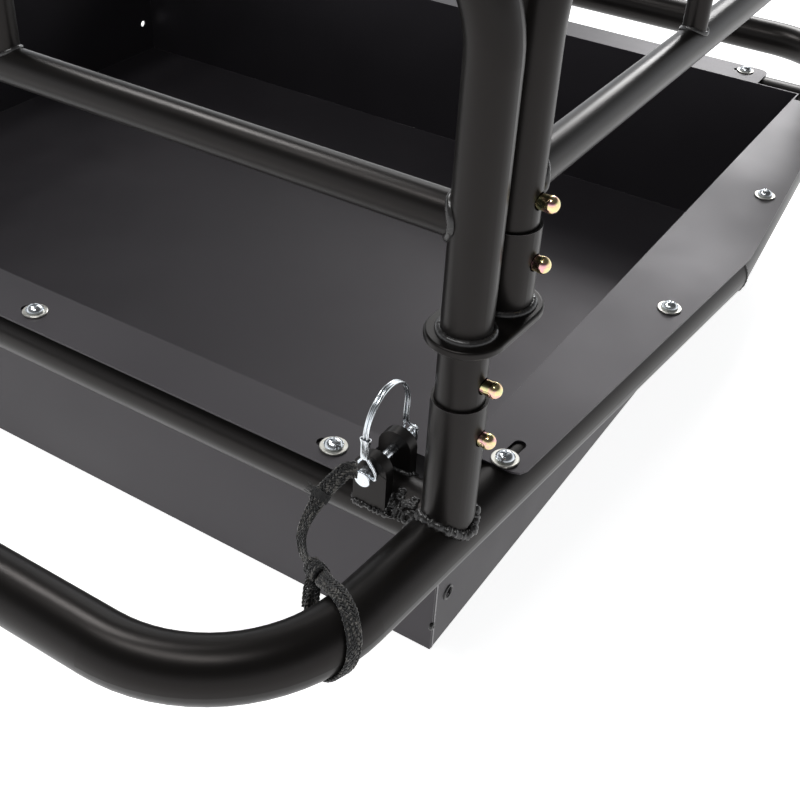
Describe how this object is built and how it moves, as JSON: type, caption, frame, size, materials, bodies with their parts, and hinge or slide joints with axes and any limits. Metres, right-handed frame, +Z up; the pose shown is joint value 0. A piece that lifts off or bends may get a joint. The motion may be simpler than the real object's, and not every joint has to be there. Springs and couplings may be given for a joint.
{
  "type": "folding luggage rack",
  "caption": "Drop tray hung in a bent tube ring with looped ends, fenced by plug-in tube gates that lock with spring buttons; wire-lock pins in lugs at the near corners.",
  "frame": {"origin": "centre of the rack's plan, on the surface that the tray stands on", "axes": "+Z up, +Y from the near loop to the far loop, +X to the rack's right"},
  "size_m": [1.044, 1.1868, 0.522],
  "materials": {
    "frame_paint": "satin black powder coat",
    "tray_paint": "satin black powder coat on sheet",
    "bright_zinc": "bright zinc plate",
    "yellow_zinc": "yellow chromated zinc with a pink and green sheen",
    "lace": "black flat braid"
  },
  "bodies": {
    "frame": {"near_loop": "frame_paint", "far_loop": "frame_paint", "near_cross_tube": "frame_paint", "far_cross_tube": "frame_paint", "near_right_socket": "frame_paint", "near_left_socket": "frame_paint", "far_right_socket": "frame_paint", "far_left_socket": "frame_paint", "tray": "tray_paint", "rivet_nuts": "yellow_zinc", "tray_washers": "bright_zinc", "tray_screws": "bright_zinc", "right_lugs": "frame_paint", "left_lugs": "frame_paint", "right_lanyard": "lace", "left_lanyard": "lace"},
    "near_gate": {"near_gate_hoop": "frame_paint", "near_gate_rail": "frame_paint", "near_gate_spindles": "frame_paint", "near_gate_plates": "frame_paint", "near_gate_sleeves": "frame_paint", "near_right_leaf": "yellow_zinc", "near_left_leaf": "yellow_zinc"},
    "far_gate": {"far_gate_hoop": "frame_paint", "far_gate_rail": "frame_paint", "far_gate_spindles": "frame_paint", "far_gate_plates": "frame_paint", "far_gate_sleeves": "frame_paint", "far_right_leaf": "yellow_zinc", "far_left_leaf": "yellow_zinc"},
    "right_gate": {"right_gate_hoop": "frame_paint", "right_gate_rail": "frame_paint", "right_gate_spindles": "frame_paint", "right_near_leaf": "yellow_zinc", "right_far_leaf": "yellow_zinc"},
    "left_gate": {"left_gate_hoop": "frame_paint", "left_gate_rail": "frame_paint", "left_gate_spindles": "frame_paint", "left_near_leaf": "yellow_zinc", "left_far_leaf": "yellow_zinc"},
    "near_right_clip": {"near_right_buttons": "yellow_zinc"},
    "near_left_clip": {"near_left_buttons": "yellow_zinc"},
    "far_right_clip": {"far_right_buttons": "yellow_zinc"},
    "far_left_clip": {"far_left_buttons": "yellow_zinc"},
    "right_near_clip": {"right_near_buttons": "yellow_zinc"},
    "right_far_clip": {"right_far_buttons": "yellow_zinc"},
    "left_near_clip": {"left_near_buttons": "yellow_zinc"},
    "left_far_clip": {"left_far_buttons": "yellow_zinc"},
    "right_pin": {"right_lock_pin": "bright_zinc"},
    "right_bail": {"right_pin_bail": "bright_zinc", "right_pin_ferrule": "bright_zinc"},
    "left_pin": {"left_lock_pin": "bright_zinc"},
    "left_bail": {"left_pin_bail": "bright_zinc", "left_pin_ferrule": "bright_zinc"}
  },
  "joints": [
    {"name": "near_gate_lift", "type": "slide", "parent": "frame", "child": "near_gate", "axis": [0, 0, 1], "range_m": [0, 0.12], "deforming": ["near_right_buttons", "near_left_buttons", "far_right_buttons", "far_left_buttons"]},
    {"name": "far_gate_lift", "type": "slide", "parent": "frame", "child": "far_gate", "axis": [0, 0, 1], "range_m": [0, 0.12], "deforming": ["near_right_buttons", "near_left_buttons", "far_right_buttons", "far_left_buttons"]},
    {"name": "right_gate_lift", "type": "slide", "parent": "near_gate", "child": "right_gate", "axis": [0, 0, 1], "range_m": [0, 0.08], "deforming": ["right_near_buttons", "right_far_buttons"]},
    {"name": "left_gate_lift", "type": "slide", "parent": "near_gate", "child": "left_gate", "axis": [0, 0, 1], "range_m": [0, 0.08], "deforming": ["left_near_buttons", "left_far_buttons"]},
    {"name": "near_right_press", "type": "slide", "parent": "near_gate", "child": "near_right_clip", "axis": [-1, 0, 0], "range_m": [0, 0.0105], "stiffness_N_per_m": 900, "springref_m": -0.004, "deforming": ["near_right_leaf"]},
    {"name": "near_left_press", "type": "slide", "parent": "near_gate", "child": "near_left_clip", "axis": [1, 0, 0], "range_m": [0, 0.0105], "stiffness_N_per_m": 900, "springref_m": -0.004, "deforming": ["near_left_leaf"]},
    {"name": "far_right_press", "type": "slide", "parent": "far_gate", "child": "far_right_clip", "axis": [-1, 0, 0], "range_m": [0, 0.0105], "stiffness_N_per_m": 900, "springref_m": -0.004, "deforming": ["far_right_leaf"]},
    {"name": "far_left_press", "type": "slide", "parent": "far_gate", "child": "far_left_clip", "axis": [1, 0, 0], "range_m": [0, 0.0105], "stiffness_N_per_m": 900, "springref_m": -0.004, "deforming": ["far_left_leaf"]},
    {"name": "right_near_press", "type": "slide", "parent": "right_gate", "child": "right_near_clip", "axis": [-1, 0, 0], "range_m": [0, 0.0105], "stiffness_N_per_m": 900, "springref_m": -0.004, "deforming": ["right_near_leaf"]},
    {"name": "right_far_press", "type": "slide", "parent": "right_gate", "child": "right_far_clip", "axis": [-1, 0, 0], "range_m": [0, 0.0105], "stiffness_N_per_m": 900, "springref_m": -0.004, "deforming": ["right_far_leaf"]},
    {"name": "left_near_press", "type": "slide", "parent": "left_gate", "child": "left_near_clip", "axis": [1, 0, 0], "range_m": [0, 0.0105], "stiffness_N_per_m": 900, "springref_m": -0.004, "deforming": ["left_near_leaf"]},
    {"name": "left_far_press", "type": "slide", "parent": "left_gate", "child": "left_far_clip", "axis": [1, 0, 0], "range_m": [0, 0.0105], "stiffness_N_per_m": 900, "springref_m": -0.004, "deforming": ["left_far_leaf"]},
    {"name": "right_pin_pull", "type": "slide", "parent": "frame", "child": "right_pin", "axis": [0, -1, 0], "range_m": [0, 0.05], "deforming": ["right_lanyard"]},
    {"name": "right_bail_swing", "type": "hinge", "parent": "right_pin", "child": "right_bail", "pos_m": [0.423, -0.4146, 0.1815], "axis": [1, 0, 0], "range_deg": [0, 143.25], "deforming": ["right_lanyard"]},
    {"name": "left_pin_pull", "type": "slide", "parent": "frame", "child": "left_pin", "axis": [0, -1, 0], "range_m": [0, 0.05], "deforming": ["left_lanyard"]},
    {"name": "left_bail_swing", "type": "hinge", "parent": "left_pin", "child": "left_bail", "pos_m": [-0.423, -0.4146, 0.1815], "axis": [1, 0, 0], "range_deg": [0, 143.25], "deforming": ["left_lanyard"]}
  ],
  "couplings": [
    {"joint": "far_gate_lift", "follows": "near_gate_lift", "ratio": 1},
    {"joint": "right_bail_swing", "follows": "right_pin_pull", "rad_per_m": 50},
    {"joint": "left_bail_swing", "follows": "left_pin_pull", "rad_per_m": 50}
  ]
}
